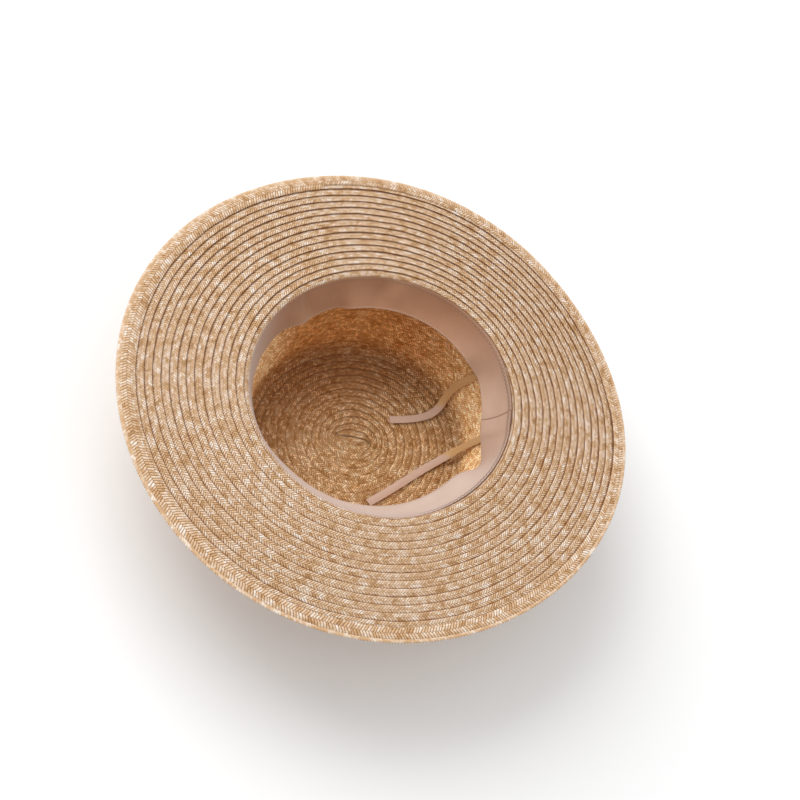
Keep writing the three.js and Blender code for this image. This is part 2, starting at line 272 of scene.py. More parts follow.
@dataclass(frozen=True)
class StrawFinish:
    """Natural wheat straw plait, satin, with pale and dark strands, painted shade in the gap at each
    crossing and under each row's lapped edge, and a painted highlight along each strand.

    The crown's inside has painted shade and light: browner on its far side, lighter on its near side and its
    front wall, with painted glints on its brighter strands.
    """

    silver: tuple[float, float, float] = (0.83, 0.72, 0.62)
    pale: tuple[float, float, float] = (0.77, 0.61, 0.46)
    blush: tuple[float, float, float] = (0.68, 0.475, 0.31)
    honey: tuple[float, float, float] = (0.60, 0.375, 0.20)
    tan: tuple[float, float, float] = (0.44, 0.24, 0.10)
    # Painted shade for the gaps between strands and the creases between rows, lighter inside the crown.
    painted_crease_shade: tuple[float, float, float] = (0.19, 0.055, 0.006)
    painted_crease_shade_inside: tuple[float, float, float] = (0.30, 0.115, 0.03)
    painted_ridge_highlight: tuple[float, float, float] = (1.12, 1.12, 1.12)
    painted_glint: tuple[float, float, float] = (1.45, 1.45, 1.45)
    # Painted shade (far) and painted light (near) for the tip and the wall inside the crown.
    tip_painted_shade: tuple[float, float, float] = (0.70, 0.48, 0.29)
    tip_painted_light: tuple[float, float, float] = (0.92, 0.81, 0.62)
    wall_painted_shade: tuple[float, float, float] = (1.02, 0.66, 0.33)
    wall_painted_light: tuple[float, float, float] = (1.52, 1.46, 1.16)
    inner_below: float = 0.079
    slant: float = 1.25
    centre: float = 0.52
    # relief scales the bump and also the painted shade and highlight of the strands.
    relief: float = 1.0

    def make(self, name: str) -> bpy.types.Material:
        """Builds the plait material, which reads the plait's own UV: repeats along, share across.

        Args:
            name: the material's name.

        Returns:
            The material.
        """
        shader = Shader(name)
        along, rows, _ = shader.axes(shader.coordinates("UV"))
        across = rows - rows.above(1.7) * 2.0
        side = across.above(self.centre)
        spread = (across - self.centre).size() * (1.0 / self.centre)
        uneven_step = shader.noise(shader.vector(along * 0.35, side * 5.0), 1.0, 1.0) - 0.5
        phase = along + spread * self.slant + side * 0.5 + uneven_step * 0.9
        strand = (phase.part() - 0.5).size() * 2.0
        gap = strand.ramp(0.5, 1.0)
        hole = (1.0 - spread.ramp(0.0, 0.25)) * gap
        grains = spread * 2.0
        under = (grains.part() - 0.5).size().ramp(0.32, 0.5)
        number = shader.vector(phase.floor(), side, grains.floor())
        tone = shader.node("ShaderNodeTexWhiteNoise", {"noise_dimensions": "3D"}, {"Vector": number}, 0)
        patch = shader.noise(shader.vector(along * 0.22, side * 7.0), 1.0, 1.0)
        grain = shader.noise(shader.vector(along * 1.3, across * 4.0), 1.0, 2.0)
        stretch = shader.noise(shader.vector(along * 0.04, 3.0), 1.0, 2.0)
        place = shader.coordinates("Object")
        drift = shader.noise(place, 22.0, 2.0)
        stops = [
            (0.0, self.tan),
            (0.3, self.honey),
            (0.55, self.blush),
            (0.8, self.pale),
            (1.0, self.silver),
        ]
        uneven = (grain - 0.5) * 0.8 + (patch - 0.5) * 2.0 + (stretch - 0.5) * 0.5 + (drift - 0.5) * 0.3
        mixed = tone * 0.55 + uneven + 0.22
        straw = shader.node("ShaderNodeValToRGB", {"stops": stops}, {0: mixed})
        # Painted highlight along the middle of each strand, kept off where strands pass under.
        ridge = 1.0 - strand * strand
        straw = shader.mix(straw, self.painted_ridge_highlight, ridge * (1.0 - under) * self.relief, "MULTIPLY")
        # Painted shade in the gaps between strands, in the holes along the middle and where strands pass
        # under.
        shade = ((gap * 0.6 + hole * 0.5 + under * 0.2) * self.relief).ramp(0.0, 1.0)
        colour = shader.mix(straw, self.painted_crease_shade, shade)
        level = shader.axes(place)[2]
        inside = (1.0 - rows.above(1.7)) * (1.0 - level.ramp(self.inner_below - 0.02, self.inner_below))
        # Painted shadow under each row's lapped edge and along its free edge, its darkness varying along the
        # row; line is this painted shade.
        crease_shade_variation = shader.noise(shader.vector(along * 0.3, 8.0), 1.0, 3.0).ramp(0.36, 0.6)
        painted_shadow_under_edge = (across + gap * 0.14).ramp(0.79, 0.96) * (0.45 + crease_shade_variation * 0.4)
        painted_edge_shade = (1.0 - (across - gap * 0.05).ramp(0.02, 0.1)) * (0.78 + crease_shade_variation * 0.22)
        line = (painted_shadow_under_edge + painted_edge_shade).ramp(0.0, 1.0) * (0.92 - inside * 0.42)
        colour = shader.mix(colour, shader.mix(self.painted_crease_shade, self.painted_crease_shade_inside, inside), line)
        # Painted light and shade inside the crown: browner and darker on the far side, lighter on the near
        # side and the front wall; near is the share of painted light.
        sideways, backwards, _ = shader.axes(place)
        on_wall = level.ramp(0.003, 0.02)
        front_wall_painted_light = (backwards * -1.0).ramp(0.03, 0.07) * on_wall * 0.8
        near = ((sideways + backwards * 0.5).ramp(-0.09, 0.03) + front_wall_painted_light).ramp(0.0, 1.0)
        painted_shade_tint = shader.mix(self.tip_painted_shade, self.wall_painted_shade, on_wall)
        painted_light_tint = shader.mix(self.tip_painted_light, self.wall_painted_light, on_wall)
        painted_light_and_shade = shader.mix(painted_shade_tint, painted_light_tint, near)
        # Painted glints on the brighter strands inside the crown.
        painted_glint_share = inside * (tone - 0.55).ramp(0.0, 0.45) * 0.7
        colour = shader.mix(colour, self.painted_glint, painted_glint_share, "MULTIPLY")
        # Multiplies the painted light and shade into the crown's inside.
        colour = shader.mix(colour, painted_light_and_shade, inside, "MULTIPLY")
        height = {"Strength": self.relief, "Distance": 0.45 * MM, "Height": ridge}
        bump = shader.node("ShaderNodeBump", {}, height)
        return shader.finish({
            "Base Color": colour,
            "Roughness": 0.4 + tone * 0.2,
            "Specular IOR Level": 0.28,
            "Normal": bump,
        })


@dataclass(frozen=True)
class RibbonFinish:
    """Ribbed ribbon: fine ribs across its length, fine threads along it and a soft sheen."""

    light: tuple[float, float, float] = (0.53, 0.35, 0.26)
    dark: tuple[float, float, float] = (0.41, 0.25, 0.17)
    rib: float = 1.1
    roughness: float = 0.62
    back: tuple[float, float, float] = (0.68, 0.41, 0.18)
    # seam colours the painted shadow at the lap's free end and along the sewn edge.
    seam: tuple[float, float, float] = (0.20, 0.09, 0.05)
    turns_at: float = 0.0
    ends_at: float = 0.0
    # Painted shade for the sweatband's far side and painted light for its near side.
    far_side_painted_shade: tuple[float, float, float] = (0.80, 0.61, 0.45)
    near_side_painted_light: tuple[float, float, float] = (1.2, 1.4, 1.62)

    def make(self, name: str) -> bpy.types.Material:
        """Builds the ribbon material, which reads UV in millimetres along and across.

        Args:
            name: the material's name.

        Returns:
            The material.
        """
        shader = Shader(name)
        along, across, _ = shader.axes(shader.coordinates("UV"))
        rib = ((along * (2.0 * math.pi / self.rib)).sine() + 1.0) * 0.5
        thread = ((across * (2.0 * math.pi / 0.45)).sine() + 1.0) * 0.5
        patch = shader.noise(shader.vector(along * 0.06, across * 0.12), 1.0, 3.0)
        fine = shader.noise(shader.vector(along * 1.3, across * 2.4), 1.0, 2.0)
        share = rib * 0.35 + patch * 0.6 + fine * 0.25 - 0.2
        colour = shader.mix(self.dark, self.light, share)
        if self.turns_at > 0.0:
            turned = (along - across * 0.7).ramp(self.turns_at - 4.5, self.turns_at + 2.5)
            behind = shader.mix(tuple(0.86 * c for c in self.back), self.back, share)
            colour = shader.mix(behind, colour, turned)
        if self.ends_at > 0.0:
            # Sweatband only: painted shade darkens and warms its far side, painted light brightens its near
            # side; far and near are their shares.
            sideways, backwards, _ = shader.axes(shader.coordinates("Object"))
            far = 1.0 - sideways.ramp(-0.085, -0.005)
            near = (sideways.ramp(0.005, 0.06) + (backwards * -1.0).ramp(0.055, 0.085)).ramp(0.0, 1.0)
            colour = shader.mix(colour, self.far_side_painted_shade, far, "MULTIPLY")
            colour = shader.mix(colour, self.near_side_painted_light, near, "MULTIPLY")
            # Painted shadow: a dark line at the lap's free end and along the sewn edge, where the band meets
            # the straw.
            end = along.ramp(self.ends_at - 1.3, self.ends_at - 0.7)
            sewn = 1.0 - across.ramp(0.2, 0.75)
            colour = shader.mix(colour, self.seam, (end + sewn).ramp(0.0, 1.0) * 0.85)
        height = rib * 0.7 + thread * 0.3
        bump = shader.node("ShaderNodeBump", {}, {"Strength": 0.6, "Distance": 0.12 * MM, "Height": height})
        return shader.finish({
            "Base Color": colour,
            "Roughness": self.roughness + fine * 0.1,
            "Specular IOR Level": 0.3,
            "Sheen Weight": 0.25,
            "Sheen Roughness": 0.5,
            "Normal": bump,
        })


@dataclass(frozen=True)
class ThreadFinish:
    """Twisted greyish sewing thread."""

    light: tuple[float, float, float] = (0.30, 0.22, 0.17)
    dark: tuple[float, float, float] = (0.15, 0.105, 0.08)

    def make(self, name: str) -> bpy.types.Material:
        """Builds the thread material with its fine twist.

        Args:
            name: the material's name.

        Returns:
            The material.
        """
        shader = Shader(name)
        place = shader.coordinates("Object")
        bands = {"Vector": place, "Scale": 900.0}
        twist = shader.node("ShaderNodeTexWave", {"bands_direction": "DIAGONAL"}, bands, 1)
        tone = shader.noise(place, 180.0, 2.0)
        colour = shader.mix(self.dark, self.light, twist * 0.6 + tone * 0.4)
        bump = shader.node("ShaderNodeBump", {}, {"Strength": 0.5, "Distance": 0.05 * MM, "Height": twist})
        return shader.finish({"Base Color": colour, "Roughness": 0.7, "Normal": bump})


@dataclass(frozen=True)
class FloorFinish:
    """Plain pale studio floor."""

    colour: tuple[float, float, float] = (0.93, 0.93, 0.93)

    def make(self, name: str) -> bpy.types.Material:
        """Builds the floor's matt material with a trace of tone.

        Args:
            name: the material's name.

        Returns:
            The material.
        """
        shader = Shader(name)
        tone = shader.noise(shader.coordinates("Object"), 4.0, 2.0)
        colour = shader.mix(self.colour, tuple(0.99 * c for c in self.colour), tone)
        return shader.finish({"Base Color": colour, "Roughness": 0.9})


@dataclass(frozen=True)
class HatForm:
    """Form of the straw body in millimetres, as in the solids.

    A point is given by its distance along the meridian of the visible face from the middle of the tip,
    its height over that face, and its direction in plan.
    """

    wall: float = 2.0
    tip_half_width: float = 75.0
    tip_half_length: float = 83.0
    head_half_width: float = 88.5
    head_half_length: float = 94.5
    brim_half_width: float = 177.4
    brim_half_length: float = 180.9
    crown_turn: float = math.radians(40.0)
    brim_turn: float = math.radians(31.0)
    crown_centre: tuple[float, float] = (-3.7, 3.9)
    start_centre: tuple[float, float] = (-8.4, 5.3)
    start_half_length: float = 11.0
    start_turn: float = math.radians(-10.0)
    crown_depth: float = 79.0
    brim_rise: float = 2.0
    tip_corner: float = 6.0
    brim_corner: float = 4.0
    wall_clearance: float = 2.4
    waves: tuple[tuple[int, float, float], ...] = (
        (2, 2.3, math.radians(49.0)),
        (3, 2.3, math.radians(46.0)),
        (4, 0.9, math.radians(-23.0)),
    )
    line: np.ndarray = field(init=False, repr=False, compare=False)
    reach: np.ndarray = field(init=False, repr=False, compare=False)
    marks: tuple[float, ...] = field(init=False, repr=False, compare=False)

    def __post_init__(self) -> None:
        """Works out the meridian with its two round corners."""
        wall_half = self.head_half_width + self.wall_clearance
        opening = self.wall + self.crown_depth
        corners = [
            np.array([0.0, self.wall]),
            np.array([self.tip_half_width, self.wall]),
            np.array([wall_half, opening]),
            np.array([self.brim_half_width, opening + self.brim_rise]),
        ]
        points = [corners[0]]
        ends: list[int] = []
        for index, radius in ((1, self.tip_corner), (2, self.brim_corner)):
            corner = corners[index]
            back = corners[index - 1] - corner
            ahead = corners[index + 1] - corner
            back = back / np.linalg.norm(back)
            ahead = ahead / np.linalg.norm(ahead)
            cut = radius / math.tan(math.acos(float(back @ ahead)) / 2)
            ends.append(len(points))
            for t in np.linspace(0.0, 1.0, 41):
                before = (1 - t) ** 2 * (corner + back * cut)
                after = t * t * (corner + ahead * cut)
                points.append(before + 2 * t * (1 - t) * corner + after)
            ends.append(len(points) - 1)
        points.append(corners[3])
        line = np.array(points)
        reach = np.r_[0.0, np.cumsum(np.hypot(*np.diff(line, axis=0).T))]
        object.__setattr__(self, "line", line)
        object.__setattr__(self, "reach", reach)
        object.__setattr__(self, "marks", tuple(float(reach[i]) for i in ends))

    @property
    def length(self) -> float:
        """Whole length of the meridian."""
        return float(self.reach[-1])

    @property
    def tip_turn_at(self) -> float:
        """Distance of the middle of the tip's round corner."""
        return (self.marks[0] + self.marks[1]) / 2

    @property
    def brim_turn_at(self) -> float:
        """Distance of the middle of the opening's round corner."""
        return (self.marks[2] + self.marks[3]) / 2

    def _base(self, distance: np.ndarray) -> tuple[np.ndarray, np.ndarray]:
        """Half width and level of the visible face at a distance."""
        half = np.interp(distance, self.reach, self.line[:, 0])
        level = np.interp(distance, self.reach, self.line[:, 1])
        return half, level

    def point(self, distance: Any, height: Any, direction: Any) -> np.ndarray:
        """Places points of the straw body.

        Args:
            distance: distance along the meridian.
            height: height over the visible face, towards whoever looks into the hat.
            direction: direction in plan, in radians.

        Returns:
            One row of three numbers a point, in millimetres.
        """
        distance, height, direction = np.broadcast_arrays(
            np.asarray(distance, float), np.asarray(height, float), np.asarray(direction, float)
        )
        inside = np.clip(distance, 0.2, self.length - 0.2)
        before = self._base(inside - 0.2)
        after = self._base(inside + 0.2)
        slope = np.hypot(after[0] - before[0], after[1] - before[1])
        run = (after[0] - before[0]) / slope
        rise = (after[1] - before[1]) / slope
        half, level = self._base(distance)
        half = half + np.minimum(distance, 0.0) - height * rise
        level = level + height * run
        stations = [0.0, self.tip_turn_at, self.brim_turn_at, self.length]
        near = [0.0, 9.0, 26.0, self.tip_turn_at, self.brim_turn_at, self.length]
        stretch = np.interp(distance, near, [
            self.start_half_length,
            0.4 * self.start_half_length,
            0.1 * self.start_half_length,
            self.tip_half_length - self.tip_half_width,
            self.head_half_length - self.head_half_width,
            self.brim_half_length - self.brim_half_width,
        ])
        turn = np.interp(distance, near, [
            self.start_turn,
            self.start_turn,
            self.crown_turn,
            self.crown_turn,
            self.crown_turn,
            self.brim_turn,
        ])
        centre_x, centre_y = (
            np.interp(distance, stations, [start, crown, crown, 0.0])
            for start, crown in zip(self.start_centre, self.crown_centre)
        )
        angle = direction - turn
        x = half * np.cos(angle)
        y = (half + stretch) * np.sin(angle)
        share = np.clip((distance - self.marks[3]) / (self.length - self.marks[3]), 0.0, 1.0)
        lift = sum(size * np.cos(count * (direction - at)) for count, size, at in self.waves)
        return np.stack([
            centre_x + x * np.cos(turn) - y * np.sin(turn),
            centre_y + x * np.sin(turn) + y * np.cos(turn),
            level + share * share * lift,
        ], axis=-1)


@dataclass
class Plait:
    """Lengths of straw plait, sewn in one spiral, each row lapped over the one inside it."""

    form: HatForm
    width: float = 7.2
    thickness: float = 0.95
    repeat: float = 2.0
    steps_in_repeat: int = 2
    crown_pitch: float = 5.8
    brim_pitch: float = 5.4
    scallop: float = 0.24
    relief: float = 0.1
    middle_height: float = -0.6
    drifts: tuple[tuple[float, float, float], ...] = (
        (2.3, 0.12, 0.4),
        (5.1, 0.09, 1.9),
        (11.7, 0.08, 4.1),
        (23.9, 0.07, 2.2),
        (47.3, 0.06, 5.0),
    )
    edge_width: float = 11.7
    edge_step: float = 2.4
    edge_wider: float = 1.2
    edge_step_at: float = math.radians(191.0)
    last_row_under_at: float = math.radians(92.0)
    section: tuple[tuple[float, float], ...] = (
        (-1.0, 0.0),
        (-0.86, 0.46),
        (-0.48, 0.5),
        (0.0, 0.42),
        (0.48, 0.5),
        (0.86, 0.46),
        (1.0, 0.0),
        (0.6, -0.5),
        (0.0, -0.42),
        (-0.6, -0.5),
    )

    def _wander(self, turns: np.ndarray) -> np.ndarray:
        """Small unevenness of hand-guided rows, in millimetres.

        Args:
            turns: how many turns the spiral has made.

        Returns:
            The sideways drift.
        """
        drift = sum(size * np.sin(2 * np.pi * count * turns + start) for count, size, start in self.drifts)
        return drift * smoothstep(turns, 0.5, 3.0)

    def rows_on_crown(self) -> float:
        """How many turns the spiral makes from the middle of the tip to the opening."""
        return self.form.brim_turn_at / self.crown_pitch

    def rows_on_brim(self) -> float:
        """How many more turns it makes until it has run under the edge braid."""
        free_edge = self.form.length - self.edge_width + 1.2
        return (free_edge + self.width / 2 - self.form.brim_turn_at) / self.brim_pitch

    def middle(self, turns: np.ndarray) -> np.ndarray:
        """Distance along the meridian of the plait's centre line.

        Args:
            turns: how many turns the spiral has made.

        Returns:
            The distances.
        """
        crown = self.rows_on_crown()
        on_crown = self.crown_pitch * turns
        on_brim = self.form.brim_turn_at + self.brim_pitch * (turns - crown)
        return np.where(turns < crown, on_crown, on_brim) + self._wander(turns)

    def direction(self, turns: np.ndarray) -> np.ndarray:
        """Direction in plan of the spiral, which runs clockwise outwards."""
        end = self.rows_on_crown() + self.rows_on_brim()
        return self.last_row_under_at + 2 * np.pi * (end - turns)

    def spiral(self, name: str, first: float, last: float) -> bpy.types.Object:
        """Makes a stretch of the spiral.

        Args:
            name: the piece's name.
            first: turn at which it starts.
            last: turn at which it ends.

        Returns:
            The piece.
        """
        limit = self.form.length - 6.2

        def place(turns: np.ndarray, sideways: np.ndarray, height: np.ndarray) -> np.ndarray:
            """Maps a plait's own coordinates to the hat."""
            middle = self.middle(turns)
            distance = np.minimum(middle + sideways, limit)
            pitch = np.where(middle < self.form.brim_turn_at, self.crown_pitch, self.brim_pitch)
            tilt = self.thickness / pitch * sideways
            return self.form.point(distance, self.middle_height - tilt + height, self.direction(turns))

        rows = self.width / ((self.crown_pitch + self.brim_pitch) / 2)
        return self._strip(name, place, (first, last), (0.0, rows), closed=False)

    def edge_ring(self, name: str, top: bool) -> bpy.types.Object:
        """Makes one of the two rings of the edge braid.

        Args:
            name: the piece's name.
            top: whether it is the upper one, whose inner edge steps where the plait's end is tucked in.

        Returns:
            The piece.
        """
        inner = self.form.length - self.edge_width + self.width * self.edge_wider / 2 - 0.2
        outer = self.form.length - self.width / 2 - 0.25

        def place(turns: np.ndarray, sideways: np.ndarray, height: np.ndarray) -> np.ndarray:
            """Maps a plait's own coordinates to the hat."""
            direction = self.edge_step_at - 2 * np.pi * turns
            if top:
                back = smoothstep(turns, 0.995, 1.0)
                drift = self.edge_step * (1.0 - turns) * (1.0 - back) + self.edge_step * back
                distance = inner + drift + sideways * (self.edge_wider - 0.3 * drift / self.edge_step)
                return self.form.point(distance, 0.12 + height - 0.03 * sideways, direction)
            distance = outer + sideways
            level = -1.0 + 0.75 * smoothstep(distance, self.form.length - 5.5, self.form.length - 1.5)
            return self.form.point(distance, level + height, direction)

        return self._strip(name, place, (0.0, 1.0), (0.07, 0.79), closed=True)

    def _strip(
        self,
        name: str,
        place: Callable[[np.ndarray, np.ndarray, np.ndarray], np.ndarray],
        stretch: tuple[float, float],
        rows: tuple[float, float],
        closed: bool,
    ) -> bpy.types.Object:
        """Rolls a grid into a flat closed tube of plait and lays it on the hat.

        Args:
            name: the piece's name.
            place: maps turns, sideways and height to points in millimetres.
            stretch: turns at which it starts and ends.
            rows: the second UV number at the shown edge and at the hidden one.
            closed: whether its ends meet in a ring.

        Returns:
            The piece.
        """
        first, last = stretch
        dense = np.linspace(first, last, int((last - first) * 1500) + 2)
        path = place(dense, np.zeros_like(dense), np.zeros_like(dense))
        run = np.r_[0.0, np.cumsum(np.linalg.norm(np.diff(path, axis=0), axis=1))]
        repeats = max(round(run[-1] / self.repeat), 4)
        steps = repeats * self.steps_in_repeat
        turns = np.interp(np.linspace(0.0, run[-1], steps + 1), run, dense)
        around = len(self.section)
        deselect_all()
        bpy.ops.mesh.primitive_grid_add(x_subdivisions=steps, y_subdivisions=around, size=1.0)
        piece = bpy.context.active_object
        piece.name = name
        piece.data.name = name
        mesh = piece.data
        count = len(mesh.vertices)
        flat = np.zeros(count * 3)
        mesh.vertices.foreach_get("co", flat)
        flat = flat.reshape(-1, 3)
        step = np.rint((flat[:, 0] + 0.5) * steps).astype(int)
        corner = np.rint((flat[:, 1] + 0.5) * around).astype(int)
        table = np.array(self.section + (self.section[0],))
        under = corner >= 6
        share = table[corner, 0]
        cycle = step / self.steps_in_repeat
        bead = np.cos(2 * np.pi * (cycle + 0.5 * (share > 0)))
        outer = smoothstep(np.abs(share), 0.55, 0.95)
        sideways = share * (self.width / 2) + np.sign(share) * self.scallop * bead * outer
        slanted = np.cos(2 * np.pi * (cycle + 0.6 * np.abs(share)))
        lift = np.sign(table[corner, 1]) * self.relief * slanted
        height = table[corner, 1] * self.thickness + np.where(under, 0.4 * lift, lift)
        points = place(turns[step], sideways, height) * MM
        mesh.vertices.foreach_set("co", points.ravel())
        self._lay_out(mesh, cycle, share, corner, rows)
        mesh.update()
        activate(piece)
        bpy.ops.object.mode_set(mode="EDIT")
        bpy.ops.mesh.select_all(action="SELECT")
        bpy.ops.mesh.remove_doubles(threshold=0.004 * MM)
        if not closed:
            bpy.ops.mesh.select_all(action="DESELECT")
            bpy.ops.mesh.select_non_manifold()
            bpy.ops.mesh.edge_face_add()
            bpy.ops.mesh.select_all(action="SELECT")
            bpy.ops.mesh.fill_holes(sides=0)
        bpy.ops.mesh.select_all(action="SELECT")
        bpy.ops.mesh.normals_make_consistent(inside=False)
        bpy.ops.object.mode_set(mode="OBJECT")
        bpy.ops.object.shade_smooth_by_angle(angle=math.radians(62.0))
        deselect_all()
        return piece

    @staticmethod
    def _lay_out(
        mesh: bpy.types.Mesh,
        cycle: np.ndarray,
        share: np.ndarray,
        corner: np.ndarray,
        rows: tuple[float, float],
    ) -> None:
        """Gives the plait its UV: repeats along, and rows across from the edge that shows on that face.

        The lower face has 2 added to its second number.

        Args:
            mesh: the strip's mesh, not yet merged.
            cycle: repeats along, for each vertex.
            share: place across from -1 to 1, for each vertex.
            corner: place in the section, for each vertex.
            rows: the second number at the shown edge and at the hidden one.
        """
        loops = np.zeros(len(mesh.loops), dtype=np.int64)
        mesh.loops.foreach_get("vertex_index", loops)
        under = np.repeat(corner[loops].reshape(-1, 4).min(axis=1) >= 6, 4)
        part = np.where(under, 1.0 - share[loops], 1.0 + share[loops]) / 2
        across = rows[0] + (rows[1] - rows[0]) * part + np.where(under, 2.0, 0.0)
        layer = mesh.uv_layers[0] if mesh.uv_layers else mesh.uv_layers.new(name="UVMap")
        layer.data.foreach_set("uv", np.stack([cycle[loops], across], axis=-1).ravel())


@dataclass
class StrawBody:
    """The crown and brim as one spiral of plait, and the doubled edge braid."""

    form: HatForm
    finish: StrawFinish = StrawFinish()
    edge_centre: float = 0.43

    def build(self) -> list[bpy.types.Object]:
        """Makes the straw pieces and puts each on its node.

        Returns:
            The pieces.
        """
        plait = Plait(self.form)
        straw = self.finish.make("wheat_straw_plait")
        edge = replace(self.finish, centre=self.edge_centre)
        doubled = replace(edge, slant=1.1).make("wheat_straw_doubled_edge")
        rolled = replace(edge, relief=0.35, tan=edge.honey).make("wheat_straw_rolled_edge")
        crown = plait.rows_on_crown()
        end = crown + plait.rows_on_brim()
        tip = self.form.tip_turn_at / plait.crown_pitch
        half = crown + (end - crown) * 0.55
        pieces = [
            (plait.spiral("plait_tip", 0.0, tip), Place.CROWN, straw),
            (plait.spiral("plait_side", tip, crown), Place.CROWN, straw),
            (plait.spiral("plait_brim_inner", crown, half), Place.BRIM, straw),
            (plait.spiral("plait_brim_outer", half, end), Place.BRIM, straw),
            (plait.edge_ring("plait_edge_under", top=False), Place.EDGE, rolled),
            (plait.edge_ring("plait_edge_top", top=True), Place.EDGE, doubled),
        ]
        for piece, node, finish in pieces:
            piece.data.materials.append(finish)
            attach(piece, "root")
            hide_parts(node.value)
            log.info("%s: %d faces", piece.name, len(piece.data.polygons))
        return [piece for piece, _, _ in pieces]


@dataclass
class RibbonStrip:
    """A length of flat ribbon, laid along chosen lines."""

    thickness: float = 0.4

    def make(self, name: str, lines: np.ndarray) -> bpy.types.Object:
        """Lays a ribbon on a net of points.

        Args:
            name: the piece's name.
            lines: points in millimetres, by place along, place across and axis.

        Returns:
            The piece.
        """
        steps, across = lines.shape[0] - 1, lines.shape[1] - 1
        deselect_all()
        bpy.ops.mesh.primitive_grid_add(x_subdivisions=steps, y_subdivisions=across, size=1.0)
        piece = bpy.context.active_object
        piece.name = name
        piece.data.name = name
        mesh = piece.data
        flat = np.zeros(len(mesh.vertices) * 3)
        mesh.vertices.foreach_get("co", flat)
        flat = flat.reshape(-1, 3)
        step = np.rint((flat[:, 0] + 0.5) * steps).astype(int)
        row = np.rint((flat[:, 1] + 0.5) * across).astype(int)
        mesh.vertices.foreach_set("co", (lines[step, row] * MM).ravel())
        middle = lines[:, across // 2]
        run = np.r_[0.0, np.cumsum(np.linalg.norm(np.diff(middle, axis=0), axis=1))]
        spans = np.linalg.norm(np.diff(lines, axis=1), axis=2).mean(axis=0)
        width = np.r_[0.0, np.cumsum(spans)]
        loops = np.zeros(len(mesh.loops), dtype=np.int64)
        mesh.loops.foreach_get("vertex_index", loops)
        layer = mesh.uv_layers[0] if mesh.uv_layers else mesh.uv_layers.new(name="UVMap")
        layer.data.foreach_set("uv", np.stack([run[step][loops], width[row][loops]], axis=-1).ravel())
        mesh.update()
        activate(piece)
        wall = piece.modifiers.new("wall", "SOLIDIFY")
        wall.thickness = self.thickness * MM
        wall.offset = 0.0
        bpy.ops.object.modifier_apply(modifier="wall")
        bpy.ops.object.mode_set(mode="EDIT")
        bpy.ops.mesh.select_all(action="SELECT")
        bpy.ops.mesh.normals_make_consistent(inside=False)
        bpy.ops.object.mode_set(mode="OBJECT")
        bpy.ops.object.shade_smooth_by_angle(angle=math.radians(50.0))
        deselect_all()
        return piece


def smooth_line(points: np.ndarray, per_span: int) -> np.ndarray:
    """Runs a smooth curve through chosen points.

    Args:
        points: the points, one row each.
        per_span: how many steps each span gets.

    Returns:
        The points of the curve.
    """
    before = np.vstack([2 * points[0] - points[1], points[:-1]])
    after = np.vstack([points[1:], 2 * points[-1] - points[-2]])
    slope = (after - before) / 2
    made = [points[0]]
    for index in range(len(points) - 1):
        for k in range(1, per_span + 1):
            t = k / per_span
            made.append(
                (2 * t**3 - 3 * t**2 + 1) * points[index]
                + (t**3 - 2 * t**2 + t) * slope[index]
                + (3 * t**2 - 2 * t**3) * points[index + 1]
                + (t**3 - t**2) * slope[index + 1]
            )
    return np.array(made)


@dataclass
class RibbonTail:
    """A narrow limp ribbon that hangs down the inner wall and lies on the tip."""

    form: HatForm
    name: str
    node: str
    route: tuple[tuple[float, float, float], ...]
    finish: RibbonFinish
    width: float = 5.5
    thickness: float = 0.35

    def _facing(self, middle: np.ndarray) -> np.ndarray:
        """Directions that the ribbon's seen face looks, up on the tip and inwards on the wall.

        Args:
            middle: points of the centre line.

        Returns:
            One unit vector a point.
        """
        inwards = np.array([*self.form.crown_centre, 0.0]) - middle
        inwards[:, 2] = 0.0
        inwards /= np.linalg.norm(inwards, axis=1)[:, None]
        third = self.form.wall + self.form.crown_depth / 3
        share = smoothstep(middle[:, 2], self.form.wall, third)[:, None]
        facing = inwards * share + np.array([0.0, 0.0, 1.0]) * (1.0 - share)
        return facing / np.linalg.norm(facing, axis=1)[:, None]

    def build(self) -> bpy.types.Object:
        """Returns:
            The piece.
        """
        middle = smooth_line(np.array(self.route), 4)
        along = np.gradient(middle, axis=0)
        along /= np.linalg.norm(along, axis=1)[:, None]
        facing = self._facing(middle)
        side = np.cross(along, facing)
        side /= np.linalg.norm(side, axis=1)[:, None]
        places = np.linspace(-0.5, 0.5, 7)
        cup = 0.35 * (1.0 - 4.0 * places**2)
        lines = (
            middle[:, None, :]
            + side[:, None, :] * (places * self.width)[None, :, None]
            + facing[:, None, :] * (cup - 0.2)[None, :, None]
        )
        piece = RibbonStrip(self.thickness).make(self.name, lines)
        piece.data.materials.append(self.finish.make(f"{self.name}_ribbon"))
        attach(piece, "root")
        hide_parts(self.node)
        self.width * MM
        return piece


